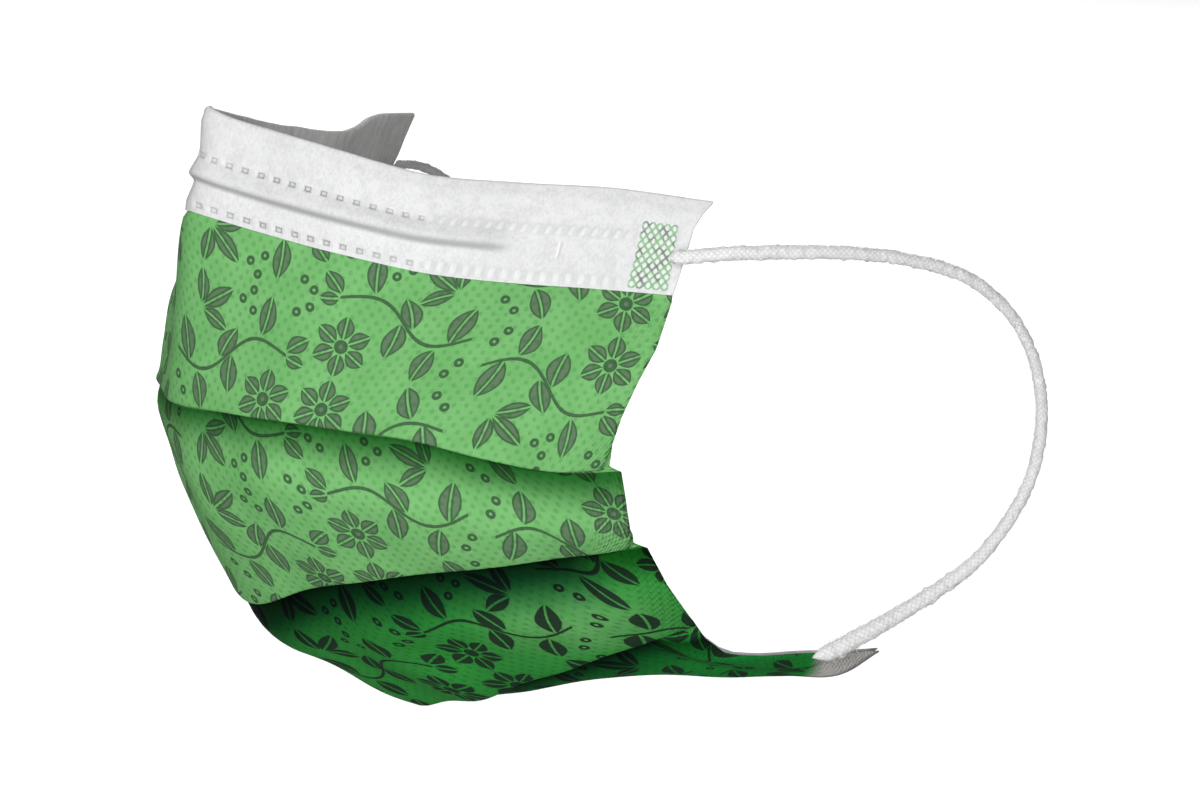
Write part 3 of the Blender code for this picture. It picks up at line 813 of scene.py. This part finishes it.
white = {
    "light": (0.828, 0.83, 0.834), "shade": (0.62, 0.622, 0.627), "markAndShade": (0.33, 0.33, 0.33),
    "whiteAndHighlight": (0.93, 0.93, 0.935), "inner": (0.9, 0.885, 0.87),
    "lattice": (0.19, 0.5, 0.19), "dark": (0.1, 0.16, 0.11),
    "ridgeShade": (0.0114, 0.00115), "ridgeShadeEnd": (0.0525, 0.0572),    # place and reach down, its end
    "latticePitch": (0.0014, 0.00168), "height": 0.00008,
}


def makeWhite():
    finish = Finish("whiteNonwoven", 0.85, 0.0, 0.25)
    u, v, _ = finish.parts("cut")
    panel, t, _ = finish.parts("worn")
    wayDown, out = t * band["tall"], abs(u)
    front = panel.fromPanel(0)
    place = finish.vector(u, v)
    cloud = finish.noise(place, 300, 6, 0.75)
    weave = finish.noise(finish.vector(u * 2200, v * 1300), 1.0, 2, 0.7, 0.5)
    colour = finish.mix((cloud * 0.55 + weave * 0.45).between(0.36, 0.6), white["shade"], white["light"])
    colour = finish.mix(0.4, colour, white["light"])
    # grey squares of the weld rows, which turn into slanted strokes towards the sides, painted as highlights
    # with painted shade along the row
    turn = band["weldTurn"]
    beyond = out.between(turn + 0.0005, turn + 0.0025) * (1 - out.between(*band["strokeHighlightsEnd"])) * front
    inner, marks, paintedShadeGrey, strokes = out.atMost(turn), 0.0, 0.0, 0.0
    for row, line in enumerate(band["weldRows"]):
        off = wayDown - line
        phase = weldPhase(out, inner, row)
        away = abs(phase - phase.floor() - 0.5)
        apart = (away * (band["weldPitch"] / band["weldWide"])).atLeast(abs(off) * (1 / band["weldTall"]))
        ring = 1 - abs(apart - 0.9).between(0.12, 0.4)
        marks = (ring * 0.95).atLeast((1 - apart.between(0.8, 1.1)) * 0.36).atLeast(marks)
        along, lean, wide, tall = band["strokes"][row]
        past = band["weldBeyond"][row]
        leant = phase - off * (lean / past) + along
        away = abs(leant - leant.floor() - 0.5) * past
        stroke = (1 - away.between(wide * 0.6, wide * 1.5)) * (1 - abs(off).between(tall * 0.7, tall * 1.4))
        strokes = stroke.atLeast(strokes)
        paintedShadeGrey = (1 - abs(off).between(0.0006, 0.0013)).atLeast(paintedShadeGrey)
    # they are pressed most beside the nose
    pressed = 0.72 + out.between(0.003, 0.014) * 0.45 - out.between(0.024, 0.04) * 0.38
    marks = marks * pressed * (1 - out.between(turn, turn + 0.002)) * (0.36 + weave * 0.8) * front
    colour = finish.mix(marks, colour, white["markAndShade"])
    # painted shade along each row and painted highlights on its slanted marks, towards the sides
    colour = finish.mix(paintedShadeGrey * beyond * 0.42, colour, white["shade"])
    colour = finish.mix(strokes * beyond * (0.2 + weave * 0.7), colour, white["whiteAndHighlight"])
    # painted shade along the underside of the ridge over the nose wire
    shadeDown, shadeReach = white["ridgeShade"]
    under = 1 - abs(wayDown - shadeDown).between(0, shadeReach)
    under = under * (1 - out.between(*white["ridgeShadeEnd"])) * front * (0.75 + cloud * 0.5)
    colour = finish.mix(under * 0.62, colour, white["markAndShade"])
    # the slot: a painted highlight along its slit with a painted shadow beside it
    across, down = leaning(out, wayDown, *band["slotPlace"], band["slotLean"])
    halfWide, halfTall = band["slotSize"]
    for shift, tone, share in ((halfWide * 1.6, "shade", 0.7), (0, "whiteAndHighlight", 0.9)):
        slit = (abs(across - shift) * (1 / halfWide)).atLeast(abs(down) * (1 / halfTall))
        colour = finish.mix((1 - slit.between(0.75, 1.3)) * front * share, colour, white[tone])
    # the loop patch: round white dots in a green lattice
    across, down = leaning(out, wayDown, *band["patchPlace"], band["patchLean"])
    halfWide, halfTall = band["patchSize"]
    apart = (abs(across) * (1 / halfWide)).atLeast(abs(down) * (1 / halfTall))
    inside = (1 - apart.between(0.96, 1.02)) * front
    wide, tall = white["latticePitch"]
    lattice = (across * (2 * math.pi / wide)).cosine() + (down * (2 * math.pi / tall)).cosine()
    lattice = (1 - abs(lattice + (weave - 0.5) * 1.1).between(0.2, 1.45)) * inside
    blotch = finish.noise(place, 520, 2).between(0.49, 0.62)
    colour = finish.mix(inside * 0.5, colour, white["whiteAndHighlight"])
    colour = finish.mix(lattice * 0.85, colour, finish.mix(blotch, white["lattice"], white["dark"]))
    # the inner leaf is streaked
    streak = finish.noise(finish.vector(u * 700, v * 160), 1.0, 3, 0.6).between(0.36, 0.66)
    finish.colour(finish.dye(1 - front, colour, finish.mix(streak * 0.55, white["inner"], white["shade"])))
    finish.relief(cloud * 0.7 + weave * 0.6 - lattice * 1.2 - marks * 0.5, white["height"], 0.9)
    return finish.material


# the grey-white lining, its tones set darker as painted shade for the shaded inside of the mask
greyWhiteShaded = {"light": (0.5, 0.49, 0.48), "shade": (0.34, 0.335, 0.33), "height": 0.00008}


def makeGreyWhiteShaded():
    finish = Finish("greyWhiteShadedNonwoven", 0.88, 0.0, 0.2)
    u, v, _ = finish.parts("cut")
    cloud = finish.noise(finish.vector(u, v), 120, 4, 0.6)
    streak = finish.noise(finish.vector(u * 1400, v * 160), 1.0, 3, 0.6)
    tone = streak.between(0.3, 0.7) * 0.6 + cloud * 0.4
    finish.colour(finish.mix(tone, greyWhiteShaded["shade"], greyWhiteShaded["light"]))
    finish.relief(cloud + streak * 0.6, greyWhiteShaded["height"], 0.8)
    return finish.material


# the knit of both loops; the right one's upper end is painted grey as painted shade
yarn = {"light": (0.97, 0.97, 0.97), "shade": (0.66, 0.66, 0.66), "even": (0.95, 0.95, 0.95),
        "paintedShadeGrey": (0.52, 0.51, 0.5), "paintedShadeEnd": (0.01, 0.02), "rightSide": (-0.03, -0.02),
        "pitch": 0.00095, "height": 0.00016}


def makeKnit():
    finish = Finish("knittedElastic", 0.9, 0.3, 0.2)
    place = finish.position()
    mottle = finish.noise(place, 2600, 4, 0.7, 0.8)
    way, level, upright = finish.parts("cut")
    climb = way * (math.pi / yarn["pitch"])
    one, other = climb.sine() * level, climb.cosine() * upright    # the two ways that the yarns cross
    braid = abs(one + other).atMost(abs(one - other))
    tone = mottle * 0.72 + braid * 0.34
    colour = finish.mix(tone.between(0.32, 0.62), yarn["shade"], yarn["light"])
    colour = finish.mix(0.3, colour, yarn["even"])
    toLeft, _, _ = finish.split(place)
    # painted shade: the right loop's upper end is darkened to grey
    paintedLoopShade = (1 - way.between(*yarn["paintedShadeEnd"])) * (1 - toLeft.between(*yarn["rightSide"]))
    finish.colour(finish.dye(paintedLoopShade, colour, yarn["paintedShadeGrey"]))
    finish.relief(tone, yarn["height"], 0.9)
    return finish.material


def makeWire():
    finish = Finish("coatedWire", 0.4, 0.0, 0.5)
    scratch = finish.noise(finish.position(), 900, 3)
    finish.colour(finish.mix(scratch, wire["shade"], wire["light"]))
    finish.relief(scratch, 0.00002, 0.5)
    return finish.material


coverPiece.data.materials.append(makeGreen())
liningPiece.data.materials.append(makeGreyWhiteShaded())
bandPiece.data.materials.append(makeWhite())
knit = makeKnit()
for piece in loopPieces:
    piece.data.materials.append(knit)
wirePiece.data.materials.append(makeWire())
print("materials made")


# the floor, the room and the lamps
studio = {
    "floor": -0.8, "floorSize": 30.0, "floorColour": (0.86, 0.86, 0.86), "sky": 0.115,
    # azimuth, elevation, distance, size, power and spread; both are aimed at the middle of the mask
    "lights": {"keyLight": (53, 13, 0.75, 0.34, 0.6, 60), "backLight": (235, 40, 1.1, 0.6, 0.5, 70)},
    "middle": (0, 0.045, -0.05),
    # azimuth, distance, height, size and power of the lamps that shine straight down on the floor
    "floorLights": {"floorLight": (239.85, 5.0, 0.85, 7.4, 230.0),
                    "nearFloorLight": (59.85, 5.0, 0.85, 7.4, 40.0)},
}


def addLight(name, place, aim, wide, power, spread=180):
    lamp = bpy.data.lights.new(name, "AREA")
    lamp.shape, lamp.size, lamp.energy, lamp.spread = "DISK", wide, power, math.radians(spread)
    light = bpy.data.objects.new(name, lamp)
    light.location = place
    light.rotation_euler = (Vector(aim) - Vector(place)).to_track_quat("-Z", "Y").to_euler()
    light.visible_camera = False
    bpy.context.scene.collection.objects.link(light)


def addStudio():
    size, level = studio["floorSize"], studio["floor"]
    corners = np.array([(x * size, y * size, level) for x, y in ((-1, -1), (1, -1), (1, 1), (-1, 1))])
    floor = addMesh("floor", corners, [(0, 1, 2, 3)], body=None)
    paint = Finish("paleFloor", 0.9, 0.0, 0.1)
    paint.colour(studio["floorColour"])
    floor.data.materials.append(paint.material)
    world = bpy.data.worlds.new("softRoom")
    bpy.context.scene.world = world
    world.use_nodes = True
    sky = world.node_tree.nodes["Background"]
    sky.inputs[0].default_value = (1, 1, 1, 1)
    sky.inputs[1].default_value = studio["sky"]
    for name, (azimuth, elevation, far, wide, power, spread) in studio["lights"].items():
        place = toward(azimuth, elevation) * far + studio["middle"]
        addLight(name, place, studio["middle"], wide, power, spread)
    for name, (azimuth, far, high, wide, power) in studio["floorLights"].items():
        x, y, _ = toward(azimuth, 0) * far
        addLight(name, (x, y, high), (x, y, level), wide, power)


addStudio()
bpy.context.scene.view_settings.view_transform = "Standard"
print("studio made")
